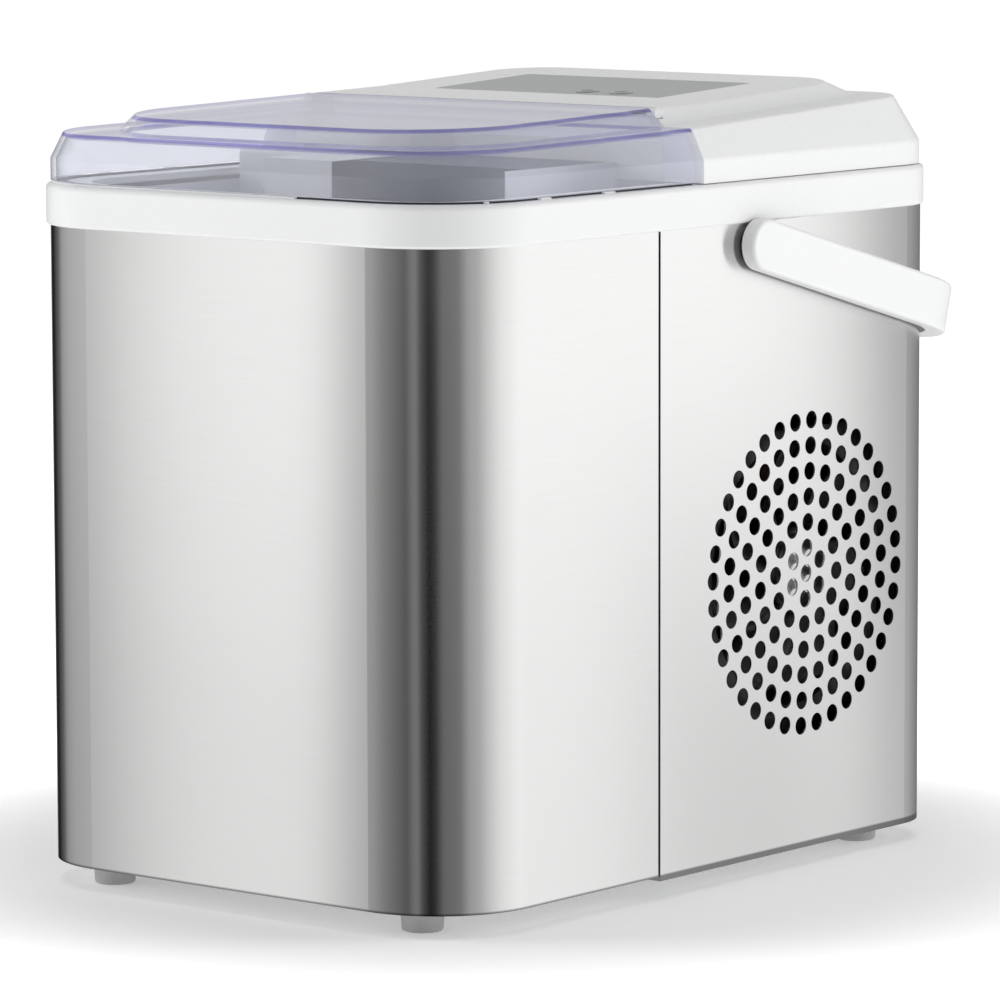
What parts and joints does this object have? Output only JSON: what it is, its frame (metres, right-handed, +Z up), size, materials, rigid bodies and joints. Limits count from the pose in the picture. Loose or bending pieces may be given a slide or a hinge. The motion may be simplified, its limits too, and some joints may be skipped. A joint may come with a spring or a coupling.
{
  "type": "ice maker",
  "caption": "Countertop ice maker: steel wrap with round fan grilles, clear stepped hinged lid, sloped button panel, swinging carry handle, tilting water tray and lift-out basket.",
  "frame": {"origin": "bottom centre of the whole machine's bounding box at rest, the resting carry handle included, on the floor plane under the feet", "axes": "+Z up, -Y towards the front under the clear lid, +Y towards the rear wall and the grip of the resting handle, +X towards the side with the fan behind its grille"},
  "size_m": [0.239, 0.3268, 0.3045],
  "materials": {
    "steel_wrap": "vertically reflecting brushed stainless sheet",
    "white_plastic": "smooth moulded",
    "handle_white": "smooth moulded",
    "clear_lid": "clear with a faint blue-violet tint",
    "panel_grey": "satin film",
    "button_dark": "satin",
    "base_white": "moulded",
    "foot_grey": "matte",
    "gasket_dark": "matte",
    "liner_grey": "satin",
    "basket_grey": "satin",
    "frame_dark": "satin",
    "plated_metal": "plated",
    "steel_pin": "turned",
    "zinc_screw": "plated",
    "foam_white": "expanded foam",
    "black_plastic": "satin",
    "compressor_black": "gloss enamel",
    "rubber_black": "matte",
    "fin_aluminium": "mill finish",
    "copper": "drawn tube",
    "board_green": "lacquered board",
    "silicone": "translucent, taken as matte"
  },
  "bodies": {
    "housing": {"base_pan": "base_white", "front_shell": "steel_wrap", "rear_shell": "steel_wrap", "top_rim": "white_plastic", "lid_gasket": "gasket_dark", "lid_rests": "base_white", "rear_cover": "white_plastic", "control_panel": "panel_grey", "control_board": "board_green", "board_posts": "zinc_screw", "lid_hinge_pins": "steel_pin", "handle_bush_left": "black_plastic", "handle_bush_right": "black_plastic", "water_tank": "liner_grey", "foam_jacket": "foam_white", "drain_spout": "base_white", "evaporator_frame": "frame_dark", "evaporator": "plated_metal", "drip_grid": "liner_grey", "tray_motor": "white_plastic", "ice_sensor_left": "black_plastic", "ice_sensor_right": "black_plastic", "level_sensor": "steel_pin", "compressor": "compressor_black", "compressor_grommets": "rubber_black", "compressor_bolts": "zinc_screw", "condenser": "fin_aluminium", "condenser_bracket": "steel_pin", "fan_frame": "black_plastic", "fan_bracket": "steel_pin", "fan_motor": "black_plastic", "fan_screws": "zinc_screw", "filter_drier": "copper", "solenoid_valve": "copper", "water_pump": "black_plastic", "pump_hose": "silicone", "discharge_pipe": "copper", "suction_pipe": "copper", "liquid_line": "copper", "main_board": "board_green", "board_bracket": "base_white", "power_inlet": "black_plastic", "foot_screws": "zinc_screw", "shell_screws": "zinc_screw", "foot_front_left": "foot_grey", "foot_front_right": "foot_grey", "foot_rear_left": "foot_grey", "foot_rear_right": "foot_grey"},
    "lid": {"lid": "clear_lid"},
    "handle": {"carry_handle": "handle_white"},
    "tray": {"water_tray": "liner_grey"},
    "pusher": {"ice_pusher": "basket_grey"},
    "basket": {"ice_basket": "basket_grey"},
    "fan": {"fan_impeller": "black_plastic"},
    "select_button": {"select_button": "button_dark"},
    "power_button": {"power_button": "button_dark"},
    "drain_cap": {"drain_cap": "base_white"}
  },
  "joints": [
    {"name": "lid_hinge", "type": "hinge", "parent": "housing", "child": "lid", "pos_m": [0, -0.01162, 0.29723], "axis": [-1, 0, 0], "range_deg": [0, 95]},
    {"name": "handle_hinge", "type": "hinge", "parent": "housing", "child": "handle", "pos_m": [0, 0.01828, 0.2465], "axis": [1, 0, 0], "range_deg": [0, 105.1]},
    {"name": "tray_tilt", "type": "hinge", "parent": "housing", "child": "tray", "pos_m": [0.008, -0.03422, 0.222], "axis": [-1, 0, 0], "range_deg": [-80, 0]},
    {"name": "pusher_swing", "type": "hinge", "parent": "housing", "child": "pusher", "pos_m": [0.008, -0.07502, 0.25], "axis": [1, 0, 0], "range_deg": [-36, 1]},
    {"name": "basket_lift", "type": "slide", "parent": "housing", "child": "basket", "axis": [0, 0, 1], "range_m": [0, 0.085]},
    {"name": "fan_spin", "type": "hinge", "parent": "housing", "child": "fan", "pos_m": [0.097, 0.05308, 0.1157], "axis": [1, 0, 0], "continuous": true},
    {"name": "select_press", "type": "slide", "parent": "housing", "child": "select_button", "axis": [0, 0.0499, -0.9988], "range_m": [0, 0.0006], "stiffness_N_per_m": 400, "springref_m": -0.0005},
    {"name": "power_press", "type": "slide", "parent": "housing", "child": "power_button", "axis": [0, 0.0499, -0.9988], "range_m": [0, 0.0006], "stiffness_N_per_m": 400, "springref_m": -0.0005},
    {"name": "drain_turn", "type": "hinge", "parent": "housing", "child": "drain_cap", "pos_m": [-0.055, -0.11722, 0.007], "axis": [0, 0, 1], "range_deg": [0, 90]}
  ],
  "couplings": [
    {"joint": "pusher_swing", "follows": "tray_tilt", "ratio": 0.4375}
  ]
}
